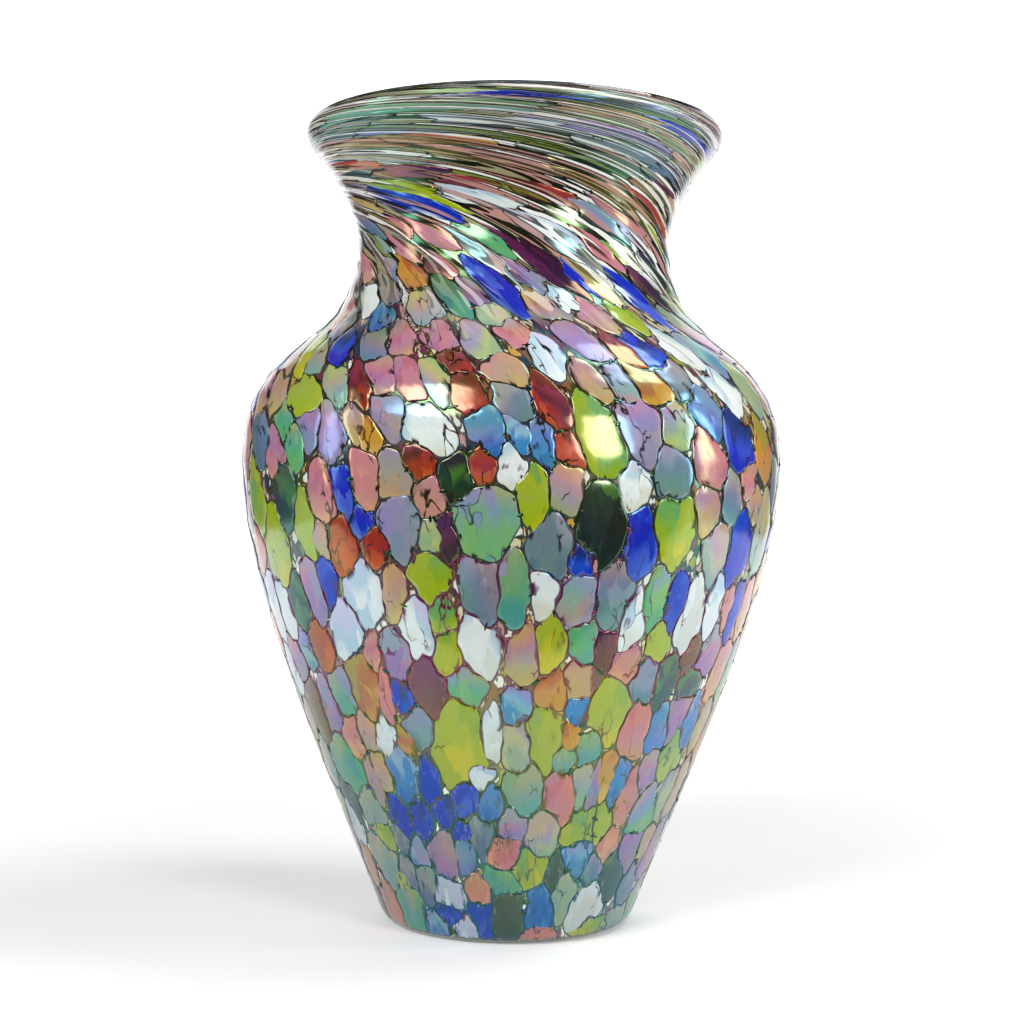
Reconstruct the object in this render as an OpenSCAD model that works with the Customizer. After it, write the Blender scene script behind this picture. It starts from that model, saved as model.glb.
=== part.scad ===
// Blown glass vase: one clear gather, a fine frit ground fused over it, and chips of
// coloured glass fused on the ground. The chips keep their shape up to the belly and
// are drawn out into twisted streaks over the shoulder, the neck and the lip.
// Millimetres. The origin is the middle of the foot, on the table, with +Z up.

/* [Body] */
// Diameter of the vase at its widest
belly_d = 149; // [118:1:180]
// Rise from the table to the widest part
body_rise = 127; // [104:1:154]
// Rise from the widest part to the narrowest part of the neck
shoulder_rise = 60; // [50:1:72]

/* [Neck and lip] */
// Diameter at the narrowest part of the neck
neck_d = 86.8; // [70:0.1:105]
// Rise from the narrowest part of the neck to the top of the lip
neck_rise = 33; // [27:1:40]
// Diameter of the lip at its outermost
lip_d = 116; // [106:1:140]
// Thickness of the rounded lip
lip_t = 6; // [5:0.1:8]

/* [Foot] */
// Diameter of the flat ring that the vase stands on
foot_d = 60.8; // [50:0.1:74]
// Radius of the heel between the flat ring and the wall
heel_r = 5; // [4:0.1:7]
// Lean of the wall outwards, just above the heel, in degrees
wall_lean = 21.8; // [15:0.1:28]
// Diameter of the dish ground where the pontil was broken off
dish_d = 30; // [20:1:40]
// Depth of that dish
dish_depth = 1.6; // [1:0.1:3]

/* [Glass] */
// Thickness of the finished wall below the lip
wall_t = 4.4; // [3.4:0.1:6]
// Thickness of clear glass under the floor inside
floor_t = 11; // [8:0.5:16]
// Thickness of the fine frit ground fused on the gather
ground_t = 0.4; // [0.3:0.05:0.6]
// Thickness of the coloured chips fused on the ground
chip_t = 0.6; // [0.4:0.05:0.9]
// Share of its bed that one chip fills, across and along
chip_fill = 0.88; // [0.7:0.01:0.92]

/* [Twist] */
// Height on the plan at which the twist begins
twist_start = 110; // [90:1:130]
// Strength of the twist, in degrees times millimetres
twist_strength = 7000; // [0:100:9000]
// Height on the plan towards which the twist tightens, above the lip
twist_end = 236; // [232:1:260]

/* [Hidden] */

// The fourteen coloured glasses, and the colour of each.
GLASSES = [
    ["lime", "#9bbe12"], ["cobalt", "#2a2fc4"], ["opal", "#ecf4f1"], ["rose", "#c98f9f"],
    ["lilac", "#aa96c6"], ["jade", "#5fb794"], ["celadon", "#aabfaa"], ["azure", "#5fa3d2"],
    ["ruby", "#9c342e"], ["amber", "#cf963c"], ["forest", "#2f4a3c"], ["aubergine", "#4b1c4c"],
    ["sand", "#c3a88f"], ["slate", "#7d91a6"]
];

// ---- Outline of the vase ------------------------------------------------------

top_z = body_rise + shoulder_rise + neck_rise;
belly_r = belly_d / 2;
neck_r = neck_d / 2;
foot_r = foot_d / 2;
neck_z = body_rise + shoulder_rise;
lip_arc_r = lip_t / 2;
lip_mid = [lip_d / 2 - lip_arc_r, top_z - lip_arc_r];
heel_mid = [foot_r, heel_r];
skin_t = ground_t + chip_t;

// Angle round the heel at which the colour starts, and round the lip at which it ends.
skin_heel_angle = -50;
skin_lip_angle = 50;
// Lean of the neck's flare where it runs into the lip.
flare_lean = 39.6;
// Fullness of the curves: length of each curve's handles as a share of its rise.
body_pull = 0.445;
belly_pull = 0.25;
shoulder_pull = 0.6;
neck_draw = 0.55;
neck_pull = 0.3;
flare_pull = 0.3;
// Number of steps in each curve.
heel_steps = 2;
body_steps = 11;
shoulder_steps = 10;
flare_steps = 6;
lip_steps = 4;
well_steps = 6;
crown_steps = 7;

function polar(mid, r, angle) = mid + r * [cos(angle), sin(angle)];

function arc(mid, r, from, to, steps) =
    [for (i = [0 : steps]) polar(mid, r, from + (to - from) * i / steps)];

function bezier(a, b, c, d, steps) = [
    for (i = [1 : steps])
        let (t = i / steps, s = 1 - t)
            s * s * s * a + 3 * s * s * t * b + 3 * s * t * t * c + t * t * t * d
];

heel_top = polar(heel_mid, heel_r, -wall_lean);
belly = [belly_r, body_rise];
neck = [neck_r, neck_z];
lip_foot = polar(lip_mid, lip_arc_r, -flare_lean);

body_curve = bezier(
    heel_top,
    heel_top + body_pull * body_rise * [sin(wall_lean), cos(wall_lean)],
    belly - [0, belly_pull * body_rise],
    belly, body_steps
);
shoulder_curve = bezier(
    belly,
    belly + [0, shoulder_pull * shoulder_rise],
    neck - [0, neck_draw * shoulder_rise],
    neck, shoulder_steps
);
flare_curve = bezier(
    neck,
    neck + [0, neck_pull * neck_rise],
    lip_foot - flare_pull * neck_rise * [sin(flare_lean), cos(flare_lean)],
    lip_foot, flare_steps
);

// The outside of the vase where the colour covers it, from the heel to the lip.
skin_line = concat(
    arc(heel_mid, heel_r, skin_heel_angle, -wall_lean, heel_steps),
    body_curve, shoulder_curve, flare_curve,
    [for (i = [1 : lip_steps])
        polar(lip_mid, lip_arc_r, -flare_lean + (skin_lip_angle + flare_lean) * i / lip_steps)]
);
skin_last = len(skin_line) - 1;

// Outward normals: square to the curve, and along the radius at the two ends.
function square_to(v) = [v[1], -v[0]] / norm(v);

function normal_at(line, i) =
    let (low = max(i - 1, 0), high = min(i + 1, len(line) - 1))
        square_to(line[high] - line[low]);

skin_normals = [
    for (i = [0 : skin_last])
        i == 0 ? polar([0, 0], 1, skin_heel_angle)
        : i == skin_last ? polar([0, 0], 1, skin_lip_angle)
        : normal_at(skin_line, i)
];

// The skin line moved inwards by a depth.
function sunk(depth) = [for (i = [0 : skin_last]) skin_line[i] - depth * skin_normals[i]];

function reversed(list) = [for (i = [len(list) - 1 : -1 : 0]) list[i]];

// Radius of a line of points at one height.
function heights_first(line) = [for (p = line) [p[1], p[0]]];

outer_table = heights_first(skin_line);
seat_table = heights_first(sunk(chip_t));

function outer_r(z) = lookup(z, outer_table);
function seat_r(z) = lookup(z, seat_table);

// ---- The inside ---------------------------------------------------------------

// The wall thickens evenly from wall_t at the neck to lip_t at the lip.
flare_first = skin_last - lip_steps - flare_steps;
function wall_at(i) =
    i <= flare_first ? wall_t
    : wall_t + (lip_t - wall_t) * pow((i - flare_first) / flare_steps, 2);

// Radius of the round corner between the floor inside and the wall.
well_r = 14;
// Points of the skin at the heel that the wall inside starts after.
heel_points = 3;
inner_wall = [
    for (i = [heel_points : skin_last - lip_steps])
        let (p = skin_line[i] - wall_at(i) * skin_normals[i])
            if (p[1] > floor_t + well_r) p
];
well_dir = (inner_wall[1] - inner_wall[0]) / norm(inner_wall[1] - inner_wall[0]);
// Reach of the corner across the floor, and how strongly each of its ends runs on.
well_reach = 24;
floor_pull = 16;
well_pull = 9;
well_floor = [inner_wall[0][0] - well_reach, floor_t];
well_curve = bezier(
    well_floor,
    well_floor + [floor_pull, 0],
    inner_wall[0] - well_pull * well_dir,
    inner_wall[0], well_steps
);
crown = arc(lip_mid, lip_arc_r, skin_lip_angle, 180 - flare_lean, crown_steps);

module gather_half() {
    polygon(concat(
        [[0, 0]],
        arc(heel_mid, heel_r, -90, skin_heel_angle, heel_steps),
        sunk(skin_t),
        crown,
        reversed(inner_wall),
        reversed(well_curve),
        [well_floor, [0, floor_t]]
    ));
}

// A closed layer of the skin between two depths below the finished surface.
module skin_layer(outer_depth, inner_depth) {
    rotate_extrude($fn = 180)
        polygon(concat(sunk(outer_depth), reversed(sunk(inner_depth))));
}

// ---- Twist --------------------------------------------------------------------

// The plan is drawn for a vase with these rises; lift() carries a height on the plan
// to the same place on the vase.
plan_body = 127;
plan_shoulder = 60;
plan_neck = 33;
function lift(z) = lookup(z, [
    [0, 0],
    [plan_body, body_rise],
    [plan_body + plan_shoulder, neck_z],
    [plan_body + plan_shoulder + plan_neck, top_z]
]);

// How far the glass has been turned at a height on the plan, in degrees, and how fast
// the turn grows there, in degrees per millimetre.
twist_gap = twist_end - twist_start;
function turned(z) =
    z <= twist_start ? 0
    : twist_strength
        * (1 / (twist_end - z) - 1 / twist_gap - (z - twist_start) / (twist_gap * twist_gap));
function turn_rate(z) =
    z <= twist_start ? 0
    : twist_strength * (1 / pow(twist_end - z, 2) - 1 / (twist_gap * twist_gap));

// Height on the plan at which the turn reaches an angle, found by halving.
function height_turned(angle, low, high, halvings) =
    let (mid = (low + high) / 2)
        halvings == 0 ? mid
        : turned(mid) < angle ? height_turned(angle, mid, high, halvings - 1)
        : height_turned(angle, low, mid, halvings - 1);

// ---- Plan of the chips --------------------------------------------------------
// Each chip: angle round the vase, height of its middle, width in degrees, length,
// glass. Angles run anticlockwise seen from above, from the front. They were laid
// out by hand, ring by ring.

foot_chips = [
    [-73, 8, 9, 11, "aubergine"], [-57, 7.5, 13, 12, "rose"], [-64, 18, 8, 9, "rose"],
    [-42.5, 8, 14, 12, "jade"], [-42.5, 15.5, 4, 3.5, "lime"], [-31, 4, 7, 5, "azure"],
    [-23, 7.8, 8, 3.5, "cobalt"], [-17, 4, 8, 5, "opal"], [-23, 14, 10, 8, "opal"],
    [-9.5, 7, 5, 8, "cobalt"], [-10, 16, 5, 7, "rose"], [0, 8.5, 12, 11, "forest"],
    [13, 9.5, 11, 11, "azure"], [14, 2.6, 10, 2, "rose"], [33, 11, 14, 12, "opal"],
    [22, 14, 8, 12, "celadon"], [39, 3.2, 15, 3.5, "lime"], [56.5, 4.5, 10, 6, "celadon"],
    [42, 18, 9, 10, "forest"], [55, 13, 6, 9, "slate"], [68, 8, 10, 12, "jade"]
];
low_chips = [
    [-76, 23, 8, 10, "lilac"], [-63.5, 28, 7, 9, "opal"], [-49.5, 20.5, 14, 12, "celadon"],
    [-38.5, 19, 5, 8, "slate"], [-31, 15.5, 5.5, 9, "slate"], [-22, 25, 9, 11, "lilac"],
    [-31, 24.5, 5, 6, "azure"], [-14, 26, 4, 9, "azure"], [-1.5, 18, 11, 7, "jade"],
    [7.5, 21.5, 8, 9, "lime"], [10.5, 30.5, 8, 8, "celadon"], [-1, 26.5, 8.5, 8, "rose"],
    [24, 24, 8, 8, "azure"], [32, 20.5, 5, 6, "slate"], [36, 26.5, 5, 6, "rose"],
    [47, 24, 8, 9, "lilac"], [23.5, 32, 8, 7, "lime"], [-45.5, 28.5, 8, 4.5, "lime"],
    [64, 22, 9, 11, "lilac"], [57, 24, 5, 8, "sand"], [-8, 30, 5, 8, "slate"],
    [-71, 33, 7, 9, "celadon"], [-37.5, 27, 4, 6, "slate"], [17, 21, 3, 8, "forest"]
];
lower_chips = [
    [-59, 37, 8, 8, "forest"], [-53.5, 46, 14, 12, "jade"], [-47.5, 35, 10, 10, "celadon"],
    [-35.5, 34, 7, 9, "cobalt"], [-27, 34, 7, 9, "cobalt"], [-19, 36.5, 7, 7, "cobalt"],
    [-14, 31.5, 4, 4, "cobalt"], [-30, 46.5, 9, 13, "azure"], [-38, 46, 4, 6, "sand"],
    [-22, 46, 4.5, 12, "cobalt"], [-5, 39, 4, 9, "azure"], [5, 42.5, 9, 11, "jade"],
    [1, 33.5, 8, 6, "lilac"], [15.5, 42, 8.5, 12, "rose"], [14.6, 50.8, 5.6, 6, "jade"],
    [21.5, 45, 4.5, 9, "celadon"], [25, 43, 2.4, 9, "lilac"], [28.2, 46.5, 3.8, 11, "amber"],
    [32.8, 43.5, 4, 11, "azure"], [38, 40, 6.5, 13, "rose"], [43.5, 46.5, 7, 10, "lilac"],
    [47.5, 36, 9.5, 11, "jade"], [57, 38.5, 8, 11, "celadon"], [52, 49, 8.5, 10, "lime"],
    [-12.5, 39.5, 5, 8, "cobalt"], [-42, 42, 3, 9, "sand"], [64.5, 40, 6, 12, "sand"],
    [-68, 44, 8, 12, "celadon"], [31, 34, 4, 6, "lime"], [-70, 57, 7, 9, "sand"]
];
middle_chips = [
    [-13, 55, 12.5, 22, "lime"], [-10, 70, 7, 6.5, "jade"], [-4, 58, 3.2, 10, "opal"],
    [-7.8, 47, 4, 4.5, "opal"], [-23, 58.5, 6, 9, "slate"], [-27, 54.5, 3.5, 5, "amber"],
    [2.3, 54, 5, 11, "celadon"], [9.7, 57, 7.6, 14, "lime"], [16.5, 63.5, 2.6, 6, "azure"],
    [16, 56.5, 3, 6, "amber"], [25, 63.5, 9, 13, "lime"], [21, 53.8, 4.5, 7, "jade"],
    [34, 58.5, 7.5, 13, "rose"], [42, 57, 5.6, 9, "azure"], [48.5, 60.5, 6.4, 9, "lilac"],
    [55.5, 58.5, 5.5, 10, "azure"], [-36.5, 68, 8, 17, "amber"], [-26, 66.5, 5.4, 6, "cobalt"],
    [-18.5, 70.5, 7.5, 13, "aubergine"], [-44.5, 65, 6, 10, "jade"], [-30.5, 67, 3, 11, "rose"],
    [-52, 62.5, 6, 9, "lilac"], [-60, 61, 8, 12, "aubergine"], [2, 65, 3.2, 7, "azure"],
    [10.5, 68.7, 5, 6, "amber"], [16, 71.2, 4.6, 7, "sand"], [33.5, 70, 5.4, 8, "slate"],
    [39.7, 71, 5.4, 10, "forest"], [63, 71, 7.5, 13, "rose"], [49.5, 69.5, 6.5, 6.5, "forest"],
    [-33.5, 56.5, 4, 6, "opal"], [-39.5, 56.5, 4, 7, "sand"], [64, 57, 6, 11, "sand"],
    [-46, 55.5, 5, 6, "rose"], [-61.5, 74, 6, 9, "lilac"], [-68.5, 69, 6, 10, "opal"]
];
upper_chips = [
    [-26, 76, 5.5, 9, "lilac"], [-12.8, 77.5, 4.4, 7, "lime"], [-14.5, 87.5, 3.4, 6, "lime"],
    [-6.8, 80.5, 7.5, 12, "opal"], [-19.3, 84, 5.6, 11, "opal"], [-38, 83, 7.6, 11, "opal"],
    [-31, 91.5, 8.4, 15, "opal"], [-48, 78.5, 6.6, 9, "ruby"], [-52.5, 89, 6.8, 12, "forest"],
    [-45.5, 91.5, 5.4, 13, "lilac"], [-41, 95, 3, 10, "cobalt"], [-60, 86.5, 6, 12, "opal"],
    [-67, 88, 6.6, 16, "opal"], [-24.5, 92, 4, 8, "sand"], [-16, 97, 6.4, 10, "lime"],
    [-5.5, 94, 6.4, 13, "slate"], [0.8, 94.5, 4.8, 13, "jade"], [7, 94, 4, 8, "opal"],
    [13.5, 91.5, 6.2, 10, "lilac"], [16, 81, 3.6, 8, "jade"], [9.2, 80.5, 4, 11, "lime"],
    [3.3, 78, 4, 10, "sand"], [21.5, 80.5, 3.4, 7, "aubergine"], [21.8, 92, 5.4, 13, "slate"],
    [27, 86, 3.8, 13, "opal"], [31.8, 92, 4.6, 11, "jade"], [37, 89.5, 4.6, 11, "cobalt"],
    [42.6, 88, 5.6, 19, "opal"], [50, 89.5, 4.6, 11, "opal"], [34.8, 81, 4, 6, "lime"],
    [60.5, 87, 5, 11, "cobalt"], [53.5, 77.5, 6, 9, "lilac"], [26.8, 76, 5, 5.5, "rose"],
    [46.5, 77, 4, 6, "aubergine"], [-54.5, 77.5, 3.6, 5, "azure"], [-32, 77, 3, 6, "rose"],
    [56, 90, 3, 8, "rose"], [67, 88, 5, 12, "rose"]
];
belly_chips = [
    [-35, 103.5, 6.4, 10, "ruby"], [-27.6, 103, 4, 6, "ruby"], [-57, 103, 8.6, 17, "lime"],
    [-64.5, 116, 7, 15, "lime"], [-51, 117.5, 6.6, 15, "forest"], [-44.6, 109.5, 5, 14, "lime"],
    [-39, 116, 5, 13, "rose"], [-33.6, 117.5, 3, 11, "cobalt"], [-28.4, 120, 5.6, 14, "rose"],
    [-30, 109.5, 3, 5, "cobalt"], [-21.4, 109, 7, 12, "lilac"], [-22.4, 120.5, 6, 9, "sand"],
    [-15.5, 116, 3, 8, "rose"], [-12.6, 106.5, 2.8, 6, "aubergine"], [-4.5, 110, 10.4, 16, "jade"],
    [4.2, 117, 4.6, 9, "lime"], [10.4, 119, 5.4, 10, "sand"], [8, 105, 6.6, 14, "slate"],
    [17.6, 110.5, 8, 17, "forest"], [26, 105.5, 5.4, 13, "cobalt"], [34, 108, 8.4, 15, "lime"],
    [46, 102.5, 6, 12, "celadon"], [55, 103.5, 6.6, 17, "cobalt"], [49, 117.5, 4.2, 8, "slate"],
    [66, 108, 8, 18, "celadon"], [-67.5, 102, 5, 9, "rose"], [-41, 105.5, 3, 6, "sand"],
    [13.3, 100.5, 2.6, 5, "cobalt"], [42, 114, 5, 7, "sand"], [58.5, 115.5, 4.5, 5, "sand"],
    [-9.8, 120.5, 4, 6, "forest"], [-15, 106.5, 2.6, 6, "celadon"], [24, 119, 4, 5, "opal"]
];
high_chips = [
    [-62, 132, 6.6, 11, "slate"], [-51.5, 135, 5.4, 7, "jade"], [-47.2, 129, 3, 6, "jade"],
    [-53.5, 127.5, 5, 7, "rose"], [-47, 142.5, 8.6, 11, "lime"], [-43, 134, 5.2, 7, "lilac"],
    [-36.3, 132, 6.2, 14, "lilac"], [-31.5, 143, 4.4, 8, "ruby"], [-24, 136.5, 5.4, 8, "lilac"],
    [-16, 133.5, 8, 10, "opal"], [-17, 124.5, 3, 5.4, "ruby"], [-4.2, 131.5, 5.2, 7.5, "azure"],
    [0.6, 139.5, 4.4, 7, "slate"], [1.5, 131.3, 3, 6, "azure"], [5.6, 129.5, 4, 7.5, "azure"],
    [0.4, 123.5, 4.4, 6.6, "opal"], [7.6, 139, 4, 10, "ruby"], [10.4, 128, 3.4, 7, "ruby"],
    [16.4, 131.5, 7.8, 16, "lime"], [25.4, 132, 6.6, 14, "lilac"], [33, 134, 6, 8, "celadon"],
    [32.4, 122.5, 6.4, 10, "slate"], [42, 126, 7, 11, "rose"], [51, 131, 8.6, 13, "cobalt"],
    [41.5, 139, 6.4, 10, "azure"], [50, 144.3, 7, 8, "opal"], [27.6, 145, 5.4, 6.6, "amber"],
    [62, 130, 6.6, 12, "amber"], [-26.4, 146, 4.4, 7, "rose"], [-21, 145.5, 4.4, 8, "rose"],
    [-1.5, 147, 5, 5.6, "sand"], [-9, 142.5, 3.4, 9, "ruby"], [15.6, 145.5, 4.4, 6, "sand"],
    [21.3, 145, 4.4, 6.6, "lilac"], [-4.6, 123.5, 3, 6, "ruby"], [-31, 134, 3, 8, "sand"],
    [61, 145.5, 6, 9, "celadon"], [-57.5, 143, 5.4, 9, "sand"], [-66.5, 143, 6, 9, "rose"],
    [-37.5, 144.5, 4, 7, "celadon"], [35.5, 146, 4.2, 8, "slate"], [-27.8, 131, 3, 7, "amber"],
    [-15, 144, 3.4, 7, "celadon"], [55.5, 121, 4.4, 6, "rose"], [70, 121, 5.4, 9, "slate"]
];

// Chips over the shoulder, pulled askew by the twist.
shoulder_chips = [
    [-55, 153, 6, 10, "lime"], [-49.5, 151.5, 4.4, 7, "celadon"], [-42.5, 154, 3.4, 8, "cobalt"],
    [-33, 155, 4.6, 8, "slate"], [-53, 161.5, 5.4, 7, "slate"], [-37.6, 161.5, 4.6, 7, "azure"],
    [-17.6, 156.4, 5.2, 8.6, "rose"], [-25.2, 164.5, 5.6, 11, "celadon"], [-17.4, 168, 6, 12, "jade"],
    [-11.6, 167, 4.2, 8, "lilac"], [-6.4, 171, 5.8, 17, "cobalt"], [-50.6, 169, 5.6, 9, "opal"],
    [3.6, 172.5, 5.6, 8, "lilac"], [27.6, 170.5, 6, 12, "sand"], [20.2, 173, 3.6, 9, "cobalt"],
    [22.4, 162, 5.6, 9, "rose"], [33.4, 162, 3.8, 7, "lime"], [40.8, 168.5, 6, 13, "cobalt"],
    [41, 155.5, 6.4, 10, "opal"], [15.4, 155.5, 6, 9, "lilac"], [31, 152.5, 5.4, 9, "cobalt"],
    [24.8, 153.5, 3.8, 7, "ruby"], [51, 153, 6, 8, "azure"], [8.4, 165, 4.4, 8, "sand"],
    [7, 151, 5.4, 9, "opal"], [-8, 155, 5, 7, "celadon"], [-12.4, 149.6, 3.6, 7, "ruby"],
    [-27, 156, 4.4, 6, "rose"], [1, 156, 4.6, 6, "rose"], [-60.5, 177, 6, 9, "rose"],
    [-43, 170, 4.6, 8, "slate"], [-34.4, 173.5, 4.6, 9, "amber"], [-5, 161.5, 4, 6, "celadon"],
    [56, 161, 5.4, 9, "lilac"], [50, 172.5, 4.8, 9, "aubergine"], [57.5, 176, 4.8, 9, "forest"],
    [-48.6, 178, 4.6, 9, "slate"], [15.6, 166, 4, 6, "opal"], [-60.4, 165, 4.8, 8, "rose"],
    [-24.6, 175.5, 4.4, 8, "rose"], [-38.6, 181, 4.6, 8, "rose"], [40, 180.5, 5.4, 8, "lime"],
    [31, 181, 4.6, 8, "rose"], [-27, 184, 4.4, 8, "rose"], [-57.4, 184.5, 4.6, 8, "celadon"],
    [-61, 153.5, 4, 8, "sand"], [63, 165.5, 5, 8, "celadon"], 
];

// Streaks round the neck and the lip: angle and height of the middle, degrees that the
// streak runs round, thickness up the wall, glass.
neck_streaks = [
    [-10, 183, 18, 3, "jade"], [8, 177.5, 24, 5.4, "aubergine"], [-9, 178.2, 22, 3, "opal"],
    [12, 184.5, 36, 3.4, "opal"], [-41, 194.3, 42, 3, "cobalt"], [-45, 197.8, 56, 1.7, "lime"],
    [-38, 200.8, 20, 1.5, "aubergine"], [-14, 194, 16, 3, "opal"], [-16, 196.8, 24, 1.4, "ruby"],
    [8, 194.6, 22, 1.7, "ruby"], [37, 194.6, 56, 3, "lime"], [30, 189.4, 24, 2.2, "jade"],
    [44, 186.6, 22, 1.4, "lilac"], [42, 189.4, 24, 1.5, "rose"], [-50, 188.4, 26, 2.4, "rose"],
    [-66, 190.4, 26, 1.8, "slate"], [-68, 196, 22, 1.8, "sand"], [70, 186.5, 18, 1.8, "slate"],
    [-60, 209.2, 50, 1.7, "rose"], [-12, 203.2, 44, 2.1, "sand"], [-48, 205.2, 48, 1.7, "celadon"],
    [-64, 205, 34, 1.4, "ruby"], [-28, 209.7, 44, 1.7, "slate"], [20, 204.6, 48, 2.3, "forest"],
    [56, 198.4, 24, 2.5, "aubergine"], [-2, 210.2, 40, 1.4, "opal"], [36, 205.6, 34, 1.8, "opal"],
    [26, 209.6, 46, 2, "lilac"], [-26, 214.3, 46, 2.6, "jade"], [22, 215.9, 30, 1.7, "cobalt"],
    [57, 212.3, 28, 1.8, "cobalt"], [60, 209, 30, 2, "lime"], [60, 203, 22, 2, "azure"],
    [55, 193.6, 28, 1.5, "ruby"], [71, 196, 20, 2, "sand"],
    [-73, 201.2, 20, 1.6, "lilac"], [-68, 213.2, 34, 1.8, "forest"], [30, 213, 36, 1.2, "sand"],
    [-27, 207.4, 34, 1.6, "amber"], [68, 206, 20, 1.4, "rose"]
];

// The back repeats the front, half a turn on, in other glasses. Each side is filled
// from the chips in the middle of the front, where neither leaves a bed.
side_reach = 24;

function glass_index(name) = search([name], GLASSES)[0];
function other_glass(name, step) =
    GLASSES[(glass_index(name) + step) % len(GLASSES)][0];
function moved(plan, angle, step) =
    [for (c = plan) [c[0] + angle, c[1], c[2], c[3], other_glass(c[4], step)]];

// Angle between two beds, the shorter way round, once both are untwisted.
function turn_between(a, b) =
    let (d = a[0] + turned(a[1]) - b[0] - turned(b[1]))
        abs(d - 360 * round(d / 360));
function clash(a, b) =
    pow(2 * turn_between(a, b) / (a[2] + b[2]), 2)
        + pow(2 * (a[1] - b[1]) / (a[3] + b[3]), 2) < 1.15;
function clear_of(c, laid) = len([for (b = laid) if (clash(c, b)) 1]) == 0;
function middle_of(plan) = [for (c = plan) if (abs(c[0]) < side_reach) c];

function all_round(front) =
    let (
        laid = concat(front, moved(front, 180, 5)),
        sides = concat(moved(middle_of(front), 90, 9), moved(middle_of(front), -90, 3))
    )
    concat(laid, [for (c = sides) if (clear_of(c, laid)) c]);

flat_plan = all_round(concat(
    foot_chips, low_chips, lower_chips, middle_chips, upper_chips, belly_chips, high_chips
));
askew_plan = all_round(shoulder_chips);
streak_plan = concat(neck_streaks, moved(neck_streaks, 180, 5));

// ---- Chips and streaks --------------------------------------------------------

// Outline of a chip softened in the fire: an oval with a point at each end.
function chip_outline(half_w, half_l) =
    [for (t = [0 : 45 : 315]) [half_w * cos(t), half_l * sin(t)]];

// A blank of one chip, square to the wall, cut through the whole skin.
blank_h = 6;
module chip_blank(c) {
    z = lift(c[1]);
    r = outer_r(z);
    run = lift(c[1] + c[3] / 2) - lift(c[1] - c[3] / 2);
    rise = outer_r(z + 1) - outer_r(z - 1);
    slope = atan(rise / 2);
    lean = atan(r * turn_rate(c[1]) * PI / 180 * cos(slope));
    half_w = chip_fill * c[2] * r * PI / 360 * cos(lean);
    half_l = chip_fill * run / cos(slope) / cos(lean) / 2;
    rotate([0, 0, c[0]])
        translate([0, -r, z])
            rotate([90 + slope, 0, 0])
                rotate([0, 0, lean])
                    linear_extrude(height = blank_h, center = true)
                        polygon(chip_outline(half_w, half_l));
}

module chips(glass) {
    intersection() {
        skin_layer(0, chip_t);
        union() {
            for (c = flat_plan)
                if (c[4] == glass) chip_blank(c);
        }
    }
}

function on_wall(r, angle, z) = [r * sin(angle), -r * cos(angle), z];

// A closed strip through rows of four corners: outer left, outer right, inner right
// and inner left, seen from outside with the strip turned so that its first row is
// on top.
module strip(rows) {
    last = len(rows) - 1;
    polyhedron(
        points = [for (row = rows) for (p = row) p],
        faces = concat(
            [[0, 3, 2], [0, 2, 1]],
            [for (k = [0 : last - 1]) for (s = [0 : 3]) for (half = [0, 1])
                let (a = 4 * k + s, b = 4 * k + (s + 1) % 4)
                    half == 0 ? [a, b, b + 4] : [a, b + 4, a + 4]],
            [[4 * last, 4 * last + 1, 4 * last + 2], [4 * last, 4 * last + 2, 4 * last + 3]]
        ),
        convexity = 4
    );
}

// How wide a strip is along its length, from 0 at one end to 1 at the other.
tip = 0.12;
function swell(t) = max(tip, pow(sin(180 * t), 0.6));

// A shoulder chip: rows across it, each turned with the twist.
chip_rows = 3;
module shoulder_chip(c) {
    strip([
        for (k = [0 : chip_rows])
            let (
                t = k / chip_rows,
                plan_z = c[1] + chip_fill * c[3] * (0.5 - t),
                z = lift(plan_z),
                half = chip_fill * c[2] * swell(t) / 2,
                mid = c[0] - turned(plan_z) + turned(c[1]),
                seat = seat_r(z) / cos(half)
            )
            [
                on_wall(outer_r(z), mid - half, z), on_wall(outer_r(z), mid + half, z),
                on_wall(seat, mid + half, z), on_wall(seat, mid - half, z)
            ]
    ]);
}

// A neck streak: rows up the wall, one every few degrees along the twist.
row_turn = 9;
top_of_plan = plan_body + plan_shoulder + plan_neck;
// Room kept under the crown of the lip: by the chips, and by the search for a height.
crown_room = 1.4;
search_room = 1;
// Halvings of that search, enough to come within 0.01 mm.
search_halvings = 16;
module neck_streak(c) {
    steps = ceil(c[2] / row_turn);
    strip([
        for (k = [0 : steps])
            let (
                t = k / steps,
                angle = c[0] + c[2] * (t - 0.5),
                plan_z = height_turned(turned(c[1]) + c[0] - angle, twist_start, top_of_plan - search_room,
                    search_halvings),
                half = chip_fill * c[3] * swell(t) / 2,
                low = lift(plan_z - half),
                high = lift(min(plan_z + half, top_of_plan - crown_room)),
                spread = 1 / cos(c[2] / steps / 2)
            )
            [
                on_wall(outer_r(low), angle, low), on_wall(outer_r(high), angle, high),
                on_wall(seat_r(high) * spread, angle, high), on_wall(seat_r(low) * spread, angle, low)
            ]
    ]);
}

module streaks(glass) {
    for (c = askew_plan)
        if (c[4] == glass) shoulder_chip(c);
    for (c = streak_plan)
        if (c[4] == glass) neck_streak(c);
}

function tint(glass) = GLASSES[glass_index(glass)][1];

// ---- Sub-parts ----------------------------------------------------------------

// The bubble of clear glass: the wall itself, the thick floor, the foot ring with its
// ground dish, and the rounded lip.
module clear_gather() {
    dish_r = dish_d / 2;
    ball_r = (dish_r * dish_r + dish_depth * dish_depth) / (2 * dish_depth);
    color("#dfe9e6", 0.5)
        difference() {
            rotate_extrude($fn = 180) gather_half();
            translate([0, 0, dish_depth - ball_r]) sphere(r = ball_r, $fn = 180);
        }
}

// The fine crushed colours fused over the whole gather, seen between the chips.
module frit_ground() {
    color("#5a4a3e") skin_layer(chip_t, skin_t);
}

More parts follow.
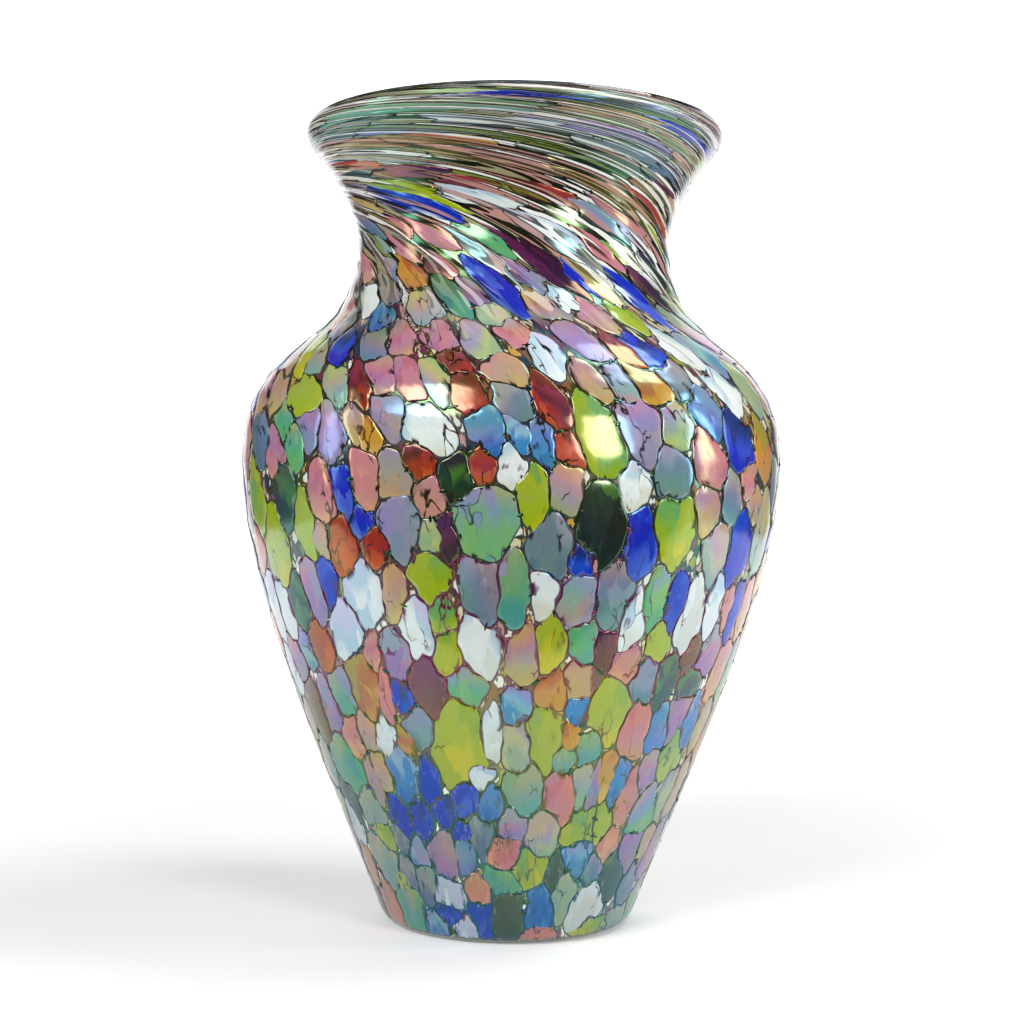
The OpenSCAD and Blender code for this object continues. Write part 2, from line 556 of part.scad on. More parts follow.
module chips_lime() { color(tint("lime")) chips("lime"); }
module chips_cobalt() { color(tint("cobalt")) chips("cobalt"); }
module chips_opal() { color(tint("opal")) chips("opal"); }
module chips_rose() { color(tint("rose")) chips("rose"); }
module chips_lilac() { color(tint("lilac")) chips("lilac"); }
module chips_jade() { color(tint("jade")) chips("jade"); }
module chips_celadon() { color(tint("celadon")) chips("celadon"); }
module chips_azure() { color(tint("azure")) chips("azure"); }
module chips_ruby() { color(tint("ruby")) chips("ruby"); }
module chips_amber() { color(tint("amber")) chips("amber"); }
module chips_forest() { color(tint("forest")) chips("forest"); }
module chips_aubergine() { color(tint("aubergine")) chips("aubergine"); }
module chips_sand() { color(tint("sand")) chips("sand"); }
module chips_slate() { color(tint("slate")) chips("slate"); }

module streaks_lime() { color(tint("lime")) streaks("lime"); }
module streaks_cobalt() { color(tint("cobalt")) streaks("cobalt"); }
module streaks_opal() { color(tint("opal")) streaks("opal"); }
module streaks_rose() { color(tint("rose")) streaks("rose"); }
module streaks_lilac() { color(tint("lilac")) streaks("lilac"); }
module streaks_jade() { color(tint("jade")) streaks("jade"); }
module streaks_celadon() { color(tint("celadon")) streaks("celadon"); }
module streaks_azure() { color(tint("azure")) streaks("azure"); }
module streaks_ruby() { color(tint("ruby")) streaks("ruby"); }
module streaks_amber() { color(tint("amber")) streaks("amber"); }
module streaks_forest() { color(tint("forest")) streaks("forest"); }
module streaks_aubergine() { color(tint("aubergine")) streaks("aubergine"); }
module streaks_sand() { color(tint("sand")) streaks("sand"); }
module streaks_slate() { color(tint("slate")) streaks("slate"); }

clear_gather();
frit_ground();
chips_lime();
chips_cobalt();
chips_opal();
chips_rose();
chips_lilac();
chips_jade();
chips_celadon();
chips_azure();
chips_ruby();
chips_amber();
chips_forest();
chips_aubergine();
chips_sand();
chips_slate();
streaks_lime();
streaks_cobalt();
streaks_opal();
streaks_rose();
streaks_lilac();
streaks_jade();
streaks_celadon();
streaks_azure();
streaks_ruby();
streaks_amber();
streaks_forest();
streaks_aubergine();
streaks_sand();
streaks_slate();
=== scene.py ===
import math

import bmesh
import bpy
import numpy as np
from mathutils import Matrix


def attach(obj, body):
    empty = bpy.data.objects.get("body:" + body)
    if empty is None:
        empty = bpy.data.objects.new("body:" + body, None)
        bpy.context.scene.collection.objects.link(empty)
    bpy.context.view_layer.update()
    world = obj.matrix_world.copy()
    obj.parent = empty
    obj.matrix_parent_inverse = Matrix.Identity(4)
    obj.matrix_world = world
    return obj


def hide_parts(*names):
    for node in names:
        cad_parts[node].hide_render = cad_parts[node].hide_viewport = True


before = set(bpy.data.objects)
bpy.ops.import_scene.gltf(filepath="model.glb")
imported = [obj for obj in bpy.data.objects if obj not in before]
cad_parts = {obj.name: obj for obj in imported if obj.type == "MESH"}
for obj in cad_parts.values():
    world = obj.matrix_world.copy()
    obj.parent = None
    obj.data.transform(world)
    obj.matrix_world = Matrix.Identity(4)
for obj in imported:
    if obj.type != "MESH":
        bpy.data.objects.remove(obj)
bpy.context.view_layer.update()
MM = 0.001


# ---- The shape of the vase -------------------------------------------------------
# Every layer of the real vase was blown as one bubble, so the gather, the frit ground
# and the chips all follow one outline. It is read from the rings of the CAD ground.

def rings_of(node):
    """Radius and height of each ring of corners on a turned CAD node."""
    corners = np.array([v.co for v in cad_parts[node].data.vertices])
    rings = np.c_[np.hypot(corners[:, 0], corners[:, 1]), corners[:, 2]]
    return np.unique(np.round(rings, 5), axis=0)


def through(points, count):
    """A smooth line of count points through a few."""
    points = np.asarray(points, float)
    steps = np.r_[0, np.cumsum(np.linalg.norm(np.diff(points, axis=0), axis=1))]
    slopes = np.gradient(points, steps, axis=0, edge_order=2)
    at = np.linspace(0, steps[-1], count)
    k = np.clip(np.searchsorted(steps, at) - 1, 0, len(steps) - 2)
    span = (steps[k + 1] - steps[k])[:, None]
    t = ((at - steps[k])[:, None]) / span
    return (
        (2 * t ** 3 - 3 * t ** 2 + 1) * points[k] + (t ** 3 - 2 * t ** 2 + t) * span * slopes[k]
        + (3 * t ** 2 - 2 * t ** 3) * points[k + 1] + (t ** 3 - t ** 2) * span * slopes[k + 1]
    )


def outward(line):
    """Unit normals of a line in the half plane, to its right as it climbs."""
    run = np.gradient(line, axis=0)
    return np.c_[run[:, 1], -run[:, 0]] / np.linalg.norm(run, axis=1)[:, None]


GROUND_T = 0.4 * MM
CHIP_T = 0.6 * MM
ground_rings = rings_of("frit_ground")
apart = np.linalg.norm(ground_rings[:, None] - ground_rings[None], axis=2)
np.fill_diagonal(apart, 1)
partner = ground_rings[apart.argmin(axis=1)]
ground_line = ground_rings[ground_rings[:, 0] > partner[:, 0]]
ground_line = through(ground_line[np.argsort(ground_line[:, 1])], 400)
skin = ground_line + CHIP_T * outward(ground_line)
skin_normal = outward(skin)
skin_low, skin_high = skin[0, 1], skin[-1, 1]


def radius_at(z):
    return np.interp(z, skin[:, 1], skin[:, 0])


def on_wall(angle, z, lift=0.0):
    """Places on the finished wall: angle in degrees from the front, height, lift off it."""
    normal_r = np.interp(z, skin[:, 1], skin_normal[:, 0])
    normal_z = np.interp(z, skin[:, 1], skin_normal[:, 1])
    r = radius_at(z) + lift * normal_r
    a = np.radians(angle)
    return np.stack([r * np.sin(a), -r * np.cos(a), z + lift * normal_z], axis=-1)


# The maker turned the lip while the shoulder was soft: how far the glass has been
# turned at a height, in degrees, and how fast that grows.
TWIST_START, TWIST_END, TWIST = 110 * MM, 236 * MM, 7000 * MM
TWIST_GAP = TWIST_END - TWIST_START


def turned(z):
    above = np.maximum(z - TWIST_START, 0)
    return TWIST * (1 / (TWIST_GAP - above) - 1 / TWIST_GAP - above / TWIST_GAP ** 2)


def turn_rate(z):
    above = np.maximum(z - TWIST_START, 0)
    return TWIST * (1 / (TWIST_GAP - above) ** 2 - 1 / TWIST_GAP ** 2)


# ---- Clear gather ----------------------------------------------------------------
# The bubble of clear glass that is the wall itself, with a thick floor, a ground and
# polished dish under the foot and a round fire-polished lip. It was blown and turned
# as one body, so it is one outline swept round by a lathe tree.

class Strand:
    """A socket in a node tree. Arithmetic on strands lays down Math nodes."""

    def __init__(self, tree, socket=None):
        self.tree = tree
        self.socket = socket

    def node(self, kind, settings=None, inputs=None, out=0):
        """Adds a node: its settings first, then the value or link of each socket."""
        made = self.tree.nodes.new(kind)
        for name, value in (settings or {}).items():
            if name == "stops":
                stops = made.color_ramp.elements
                while len(stops) < len(value):
                    stops.new(1.0)
                for stop, (place, colour) in zip(stops, value):
                    stop.position = place
                    stop.color = (*colour, 1.0)
            elif name == "interpolation":
                made.color_ramp.interpolation = value
            else:
                setattr(made, name, value)
        for key, value in (inputs or {}).items():
            if isinstance(value, Strand):
                self.tree.links.new(value.socket, made.inputs[key])
            else:
                made.inputs[key].default_value = value
        return Strand(self.tree, made.outputs[out])

    def math(self, operation, *terms, clamp=False):
        return self.node(
            "ShaderNodeMath", {"operation": operation, "use_clamp": clamp}, dict(enumerate(terms))
        )

    def __add__(self, other):
        return self.math("ADD", self, other)

    def __mul__(self, other):
        return self.math("MULTIPLY", self, other)

    def __sub__(self, other):
        return self.math("SUBTRACT", self, other)

    def __rsub__(self, other):
        return self.math("SUBTRACT", other, self)

    __radd__ = __add__
    __rmul__ = __mul__

    def clamped(self):
        return self.math("ADD", self, 0.0, clamp=True)

    def smooth(self, low, high):
        """0 below low and 1 above high, easing between the two."""
        return self.node(
            "ShaderNodeMapRange", {"interpolation_type": "SMOOTHSTEP"},
            {"Value": self, "From Min": low, "From Max": high},
        )

    def blend(self, a, b, how="MIX"):
        """This strand mixes colour a into colour b."""
        return self.node(
            "ShaderNodeMix", {"data_type": "RGBA", "blend_type": how},
            {0: self, 6: a, 7: b}, out=2,
        )


def lathe_tree():
    """Turns the edges of an outline in the half plane into a closed body."""
    tree = bpy.data.node_groups.new("lathe", "GeometryNodeTree")
    for name, kind in (
        ("Geometry", "NodeSocketGeometry"), ("Outline Points", "NodeSocketInt"),
        ("Segments", "NodeSocketInt"), ("Glass", "NodeSocketMaterial"),
    ):
        tree.interface.new_socket(name, in_out="INPUT", socket_type=kind)
    tree.interface.new_socket("Geometry", in_out="OUTPUT", socket_type="NodeSocketGeometry")
    start = tree.nodes.new("NodeGroupInput")
    outline, points, segments, glass = [Strand(tree, s) for s in start.outputs[:4]]
    lay = Strand(tree)
    grid = lay.node(
        "GeometryNodeMeshGrid", {},
        {"Size X": 1.0, "Size Y": 1.0, "Vertices X": points, "Vertices Y": segments + 1},
    )
    place = lay.node("ShaderNodeSeparateXYZ", {}, {0: lay.node("GeometryNodeInputPosition")})
    across = Strand(tree, place.socket.node.outputs["Y"])
    index = (place + 0.5) * (points - 1)
    corner = lay.node(
        "GeometryNodeSampleIndex", {"data_type": "FLOAT_VECTOR"},
        {"Geometry": outline, "Value": lay.node("GeometryNodeInputPosition"),
         "Index": lay.node("FunctionNodeFloatToInt", {"rounding_mode": "ROUND"}, {0: index})},
    )
    swept = lay.node(
        "ShaderNodeVectorRotate", {"rotation_type": "Z_AXIS"},
        {"Vector": corner, "Angle": (across + 0.5) * (2 * math.pi)},
    )
    body = lay.node("GeometryNodeSetPosition", {}, {"Geometry": grid, "Position": swept})
    body = lay.node("GeometryNodeMergeByDistance", {}, {"Geometry": body, "Distance": 1e-6})
    body = lay.node("GeometryNodeSetShadeSmooth", {}, {"Geometry": body})
    body = lay.node("GeometryNodeRealizeInstances", {}, {"Geometry": body})
    body = lay.node("GeometryNodeSetMaterial", {}, {"Geometry": body, "Material": glass})
    end = tree.nodes.new("NodeGroupOutput")
    tree.links.new(body.socket, end.inputs[0])
    return tree


def grown(name, mesh, tree, **inputs):
    """The plain mesh object that a Geometry Nodes tree makes from a mesh."""
    seed = bpy.data.objects.new(name + "_seed", mesh)
    bpy.context.scene.collection.objects.link(seed)
    modifier = seed.modifiers.new("grow", "NODES")
    modifier.node_group = tree
    for item in tree.interface.items_tree:
        if item.in_out == "INPUT" and item.name.replace(" ", "_").lower() in inputs:
            modifier[item.identifier] = inputs[item.name.replace(" ", "_").lower()]
    evaluated = seed.evaluated_get(bpy.context.evaluated_depsgraph_get())
    made = bpy.data.objects.new(name, bpy.data.meshes.new_from_object(evaluated))
    made.data.name = name
    bpy.data.objects.remove(seed)
    bpy.context.scene.collection.objects.link(made)
    return made


lathe = lathe_tree()


def turned_piece(name, outline, segments, glass):
    mesh = bpy.data.meshes.new(name + "_outline")
    corners = [(r, 0.0, z) for r, z in outline]
    mesh.from_pydata(corners, [(k, k + 1) for k in range(len(corners) - 1)], [])
    made = grown(
        name, mesh, lathe, outline_points=len(corners), segments=segments, glass=glass
    )
    bm = bmesh.new()
    bm.from_mesh(made.data)
    bmesh.ops.recalc_face_normals(bm, faces=bm.faces)
    bm.to_mesh(made.data)
    bm.free()
    return made


def clear_glass():
    material = bpy.data.materials.new("clear_blown_glass")
    material.use_nodes = True
    tree = material.node_tree
    lay = Strand(tree)
    shader = tree.nodes["Principled BSDF"]
    shader.inputs["Transmission Weight"].default_value = 1.0
    shader.inputs["IOR"].default_value = 1.5
    here = lay.node("ShaderNodeTexCoord", {}, {}, out=3)
    # The heel is thick, and its glass is tinted dark where the foot meets the floor: partly the
    # thick glass, partly painted shade standing in for the contact shadow there.
    height = lay.node("ShaderNodeSeparateXYZ", {}, {0: here}, out=2)
    tone = height.smooth(0.002, 0.007).blend((0.24, 0.32, 0.28, 1), (0.95, 0.985, 0.975, 1))
    tree.links.new(tone.socket, shader.inputs["Base Color"])
    ripple = lay.node("ShaderNodeTexNoise", {}, {"Vector": here, "Scale": 38.0, "Detail": 1.0})
    film = lay.node("ShaderNodeTexNoise", {}, {"Vector": here, "Scale": 300.0, "Detail": 3.0})
    bump = lay.node("ShaderNodeBump", {}, {"Strength": 0.12, "Distance": 0.002, "Height": ripple})
    tree.links.new(bump.socket, shader.inputs["Normal"])
    tree.links.new((film.smooth(0.45, 0.9) * 0.05 + 0.01).socket, shader.inputs["Roughness"])
    return material


gather_rings = rings_of("clear_gather")
total_h = gather_rings[:, 1].max()
flat = gather_rings[gather_rings[:, 1] < 0.01 * MM]
dish_r, foot_r = flat[:, 0].min(), flat[:, 0].max()
middle = np.sort(gather_rings[gather_rings[:, 0] < 0.01 * MM][:, 1])
dish_h, floor_z = middle[0], middle[-1]
crown_r = gather_rings[gather_rings[:, 1] > total_h - 0.05 * MM][:, 0].mean()
LIP_ARC_R, HEEL_R = 3 * MM, 5 * MM
WALL_T, LIP_T = 4.4 * MM, 6 * MM
# The clear glass ends inside the coloured skin, so no air shows between the two.
GATHER_DEPTH = 0.55 * MM


def arc(mid_r, mid_z, radius, start, stop, count):
    turn = np.radians(np.linspace(start, stop, count))
    return np.c_[mid_r + radius * np.cos(turn), mid_z + radius * np.sin(turn)]


dish_ball = (dish_r ** 2 + dish_h ** 2) / (2 * dish_h)
dish_turn = math.degrees(math.asin(dish_r / dish_ball))
dish = arc(0, dish_h - dish_ball, dish_ball, 90, 90 - dish_turn, 14)
heel = arc(foot_r, HEEL_R, HEEL_R, -90, -52, 7)
buried = (skin - GATHER_DEPTH * skin_normal)[6:-6:3]
crown = arc(crown_r, total_h - LIP_ARC_R, LIP_ARC_R, 60, 140, 14)
lip_share = np.clip((skin[:, 1] - 187 * MM) / (28 * MM), 0, 1)
wall_depth = WALL_T + (LIP_T - WALL_T) * lip_share ** 2
inner = skin - wall_depth[:, None] * skin_normal
inner = inner[(inner[:, 1] > floor_z + 14 * MM) & (skin[:, 1] < total_h - 5 * MM)][::-3]
well_end = inner[-1]
well = through([
    well_end, well_end + (-2.4 * MM, -5.5 * MM), well_end + (-6.2 * MM, -10 * MM),
    (well_end[0] - 13 * MM, floor_z + 1 * MM), (well_end[0] - 24 * MM, floor_z),
], 20)[1:]
floor = np.c_[np.linspace(well[-1, 0], 0, 8)[1:], np.full(7, floor_z)]
gather = turned_piece(
    "gather", np.vstack([dish, heel, buried, crown, inner, well, floor]), 288, clear_glass()
)
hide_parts("clear_gather")
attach(gather, "root")


# ---- Chips and streaks -----------------------------------------------------------
# Pieces of coloured glass of six to twelve millimetres, picked up on the hot gather and
# fused. They spread until they nearly met, so each one is grown from its CAD solid
# until it comes close to a neighbour; the twist draws those above into streaks.

# Each glass: its main colour, the three it drifts to, how strongly the film's painted sheen tints
# it, and how thick the film on it is, in nanometres.
GLASSES = {
    "lime": ("#9cae00", "#86a60c", "#c0ba0a", "#62a04c", 0.08, 256),
    "cobalt": ("#0620b0", "#1444c0", "#3f58c4", "#0a2274", 0.05, 205),
    "opal": ("#e4ece8", "#b4cfdc", "#dadccb", "#c9cae2", 0.12, 222),
    "rose": ("#c3787e", "#ad5c73", "#d2987e", "#a57491", 0.3, 291),
    "lilac": ("#967aa4", "#ae8494", "#7e7ea7", "#8e9fa6", 0.35, 192),
    "jade": ("#4da264", "#7cac54", "#3f9486", "#8090a4", 0.35, 240),
    "celadon": ("#98a980", "#b7b671", "#86a08f", "#aa929a", 0.45, 237),
    "azure": ("#3a82ba", "#84b4c8", "#2060ac", "#8c90c0", 0.3, 212),
    "ruby": ("#942014", "#5a0e10", "#b8481c", "#7c203c", 0.1, 285),
    "amber": ("#bf8526", "#a84e1a", "#cfa258", "#98862a", 0.15, 267),
    "forest": ("#123020", "#3c6c22", "#081610", "#1c1a2c", 0.08, 243),
    "aubergine": ("#2a0a30", "#561648", "#120a18", "#421c4a", 0.1, 300),
    "sand": ("#b9946a", "#b38675", "#c6a868", "#9f828c", 0.45, 263),
    "slate": ("#667a80", "#8a9493", "#53667f", "#8c8894", 0.35, 216),
}


def linear(code):
    """The linear colour of a hex code."""
    parts = [int(code[k:k + 2], 16) / 255 for k in (1, 3, 5)]
    return tuple(c / 12.92 if c < 0.04045 else ((c + 0.055) / 1.055) ** 2.4 for c in parts)


def solids_of(node):
    """The corners of each separate solid in a CAD node."""
    bm = bmesh.new()
    bm.from_mesh(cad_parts[node].data)
    bmesh.ops.remove_doubles(bm, verts=bm.verts, dist=1e-6)
    left = set(bm.verts)
    while left:
        queue = [left.pop()]
        found = list(queue)
        while queue:
            for edge in queue.pop().link_edges:
                for vert in edge.verts:
                    if vert in left:
                        left.discard(vert)
                        queue.append(vert)
                        found.append(vert)
        yield np.array([v.co for v in found])
    bm.free()


class Bed:
    """The place of one chip on the untwisted wall, and its size there."""

    def __init__(self, glass, kind, corners):
        self.glass = glass
        self.kind = kind
        middle_place = corners.mean(axis=0)
        self.z = (corners[:, 2].min() + corners[:, 2].max()) / 2
        angle = math.degrees(math.atan2(middle_place[0], -middle_place[1]))
        flow = np.degrees(np.arctan2(corners[:, 0], -corners[:, 1])) + turned(corners[:, 2])
        start = angle + float(turned(self.z))
        flow = start + (flow - start + 180) % 360 - 180
        self.flow = (flow.min() + flow.max()) / 2
        r = float(radius_at(self.z))
        slope = float(radius_at(self.z + MM) - radius_at(self.z - MM)) / (2 * MM)
        face = 1 / math.hypot(1, slope)
        lean = math.atan(r * math.radians(float(turn_rate(self.z))) * face)
        self.per_degree = r * math.radians(1) * math.cos(lean)
        self.per_height = 1 / (face * math.cos(lean))
        self.half_w = (flow.max() - flow.min()) / 2 * self.per_degree
        self.half_l = (corners[:, 2].max() - corners[:, 2].min()) / 2 * self.per_height

    def away(self, other):
        """Where another bed's middle is, seen from this one, in metres."""
        turn = (other.flow - self.flow + 180) % 360 - 180
        return np.array([turn * self.per_degree, (other.z - self.z) * self.per_height])


FLOW_R = 60 * MM
beds = [
    Bed(glass, kind, corners)
    for kind in ("chips", "streaks") for glass in GLASSES
    for corners in solids_of(kind + "_" + glass)
]

# Growing: how far a chip may spread past its solid, and how its outline is stepped.
GROW = {"chips": 5.0 * MM, "streaks": 5.0 * MM}
STEP = 0.1 * MM
dice = np.random.default_rng(11)
middles = np.array([[b.flow, b.z, b.per_degree, b.per_height, b.half_w, b.half_l] for b in beds])
# Each chip's own cut: how square it is, how it slants, and how it narrows to one end.
cuts = np.c_[
    dice.uniform(1.15, 1.8, len(beds)), dice.uniform(-0.3, 0.3, len(beds)),
    dice.uniform(-0.5, 0.5, len(beds)),
]
streak_rows = np.array([bed.kind == "streaks" and bed.half_l > 14 * MM for bed in beds])
cuts[streak_rows] = (1.3, 0, 0)


def waves(count, short, long):
    """Plane waves that ripple the seams: directions times wave number, and phases."""
    way = dice.normal(size=(count, 3))
    way /= np.linalg.norm(way, axis=1)[:, None]
    return way * (2 * math.pi / dice.uniform(short, long, count))[:, None], dice.uniform(0, 6, count)


SHIFT_WAVES = waves(26, 2.2 * MM, 12 * MM)
WIDTH_WAVES = waves(18, 4 * MM, 14 * MM)


def ripple(wave_set, places):
    ways, phases = wave_set
    return np.cos(places @ ways.T + phases).sum(axis=-1) / math.sqrt(len(phases) / 2)


def beyond(k, x, y):
    """How far a place lies outside a chip's own shape, in metres."""
    power, slant, narrow = cuts[k]
    half_w, half_l = middles[k, 4], middles[k, 5]
    along = y / half_l
    across = (x / half_w - slant * along * half_l / max(half_w, half_l)) / (
        1 + narrow * np.clip(along, -1.2, 1.2)
    )
    far = (np.abs(across) ** power + np.abs(along) ** power) ** (1 / power)
    return np.hypot(1.7 * x, y) * (1 - 1 / np.maximum(far, 0.05))


def outline_grown(me, count):
    """Corners of a chip's outline round its middle, in metres on the untwisted wall."""
    bed = beds[me]
    turn = (middles[:, 0] - bed.flow + 180) % 360 - 180
    x0 = turn * bed.per_degree
    y0 = (middles[:, 1] - bed.z) * bed.per_height
    grow = GROW[bed.kind]
    near = (np.abs(x0) < middles[:, 4] + bed.half_w + 2 * grow) & (
        np.abs(y0) < middles[:, 5] + bed.half_l + 2 * grow
    )
    near[me] = False
    spin = np.linspace(0, 2 * math.pi, count, endpoint=False)
    rim = np.c_[bed.half_w * np.cos(spin), bed.half_l * np.sin(spin)]
    length = np.linalg.norm(rim, axis=1)
    reach = np.linspace(0.45, 1, 60) * (1 + grow / length[:, None])
    x, y = rim[:, :1] * reach, rim[:, 1:] * reach
    height = bed.z + y / bed.per_height
    a = np.radians(bed.flow + x / bed.per_degree)
    places = np.stack([FLOW_R * np.cos(a), FLOW_R * np.sin(a), height], axis=-1)
    shift = 0.5 * MM * ripple(SHIFT_WAVES, places)
    seam = -0.1 * MM + 0.95 * MM * np.maximum(ripple(WIDTH_WAVES, places) - 0.75, 0)
    mine = beyond(me, x, y)
    blocked = mine > grow * (1 + 0.25 * shift / MM)
    for k in np.flatnonzero(near):
        side = 1 if k > me else -1
        blocked |= beyond(k, x - x0[k], y - y0[k]) - mine + side * 2 * shift < seam
    # A chip also stops at the heel and at the crown of the lip.
    blocked |= (height < skin_low + 0.2 * MM) | (height > skin_high - 0.3 * MM)
    stop = np.where(blocked.any(axis=1), blocked.argmax(axis=1), reach.shape[1] - 1)
    share = reach[np.arange(count), np.maximum(stop - 1, 0)]
    share = (np.roll(share, 1) + 4 * share + np.roll(share, -1)) / 6
    return rim * share[:, None]


# Rings of one chip: share of the way out, and height over the finished wall. The
# last ones turn down through the ground, so the chip shows inside too.
TOP_RINGS = ((0.0, 0.1), (0.3, 0.1), (0.55, 0.09), (0.76, 0.07), (0.9, 0.03),
             (0.965, -0.02), (1.0, -0.12))
UNDER_RINGS = ((1.0, -0.8), (0.9, -1.05), (0.5, -1.1), (0.0, -1.1))


def chip_mesh(bed, outline, level):
    """Corners, faces and per-corner values of one closed chip."""
    count = len(outline)
    rings = TOP_RINGS + UNDER_RINGS
    corners, along, rim, loop = [], [], [], []
    for share, lift in rings:
        ring = outline * share if share else np.zeros((1, 2))
        z = np.clip(bed.z + ring[:, 1] / bed.per_height, skin_low, skin_high)
        flow = bed.flow + ring[:, 0] / bed.per_degree
        lift = lift + level if lift > -0.5 else lift
        corners.append(on_wall(flow - turned(z), z, lift * MM))
        along.append(ring[:, 1] / max(bed.half_l, 1e-6))
        rim.append((1 - share) * np.linalg.norm(ring if share else outline[:1], axis=1) / MM)
        loop.append(np.c_[flow, z])
    faces, start = [], 0
    for (share, _), (following, _) in zip(rings, rings[1:]):
        size = count if share else 1
        after = start + size
        for k in range(count):
            j = (k + 1) % count
            if not share:
                faces.append((start, after + k, after + j))
            elif not following:
                faces.append((start + j, start + k, after))
            else:
                faces.append((start + k, after + k, after + j, start + j))
        start = after
    return np.vstack(corners), faces, np.concatenate(along), np.concatenate(rim), np.vstack(loop)


outlines = [outline_grown(k, 56 if bed.half_l < 16 * MM else 80) for k, bed in enumerate(beds)]

# Seams between the chips take a dark colour that changes with the height.
SEAM_TINTS = (
    (0.0, "#083258"), (0.1, "#0c4444"), (0.17, "#3c480c"), (0.26, "#5a4a10"), (0.32, "#701634"),
    (0.42, "#520e3a"), (0.5, "#14220e"), (0.6, "#2a130a"), (0.75, "#140d09"), (1.0, "#0e0a08"),
)


THREADS = ((0.0, "#0f0b09"), (0.37, "#f4f1ea"), (0.4, "#0e0a08"), (0.425, "#a39a76"),
           (0.445, "#0b0807"), (0.47, "#c08f86"), (0.485, "#15100d"), (0.505, "#fbfaf6"),
           (0.53, "#0d0908"), (0.555, "#7d8a3a"), (0.575, "#110c0a"), (0.6, "#f3f0e8"),
           (0.63, "#2a110e"), (0.655, "#8c9a86"), (0.68, "#0c0908"))


def drawn_threads(lay, flow):
    """The fine threads that the frit was drawn into round the neck and the lip."""
    bands = lay.node("ShaderNodeTexNoise", {}, {"Vector": flow, "Scale": 36.0, "Detail": 3.0})
    return lay.node(
        "ShaderNodeValToRGB",
        {"interpolation": "CONSTANT", "stops": [(at, linear(code)) for at, code in THREADS]},
        {"Fac": bands},
    )


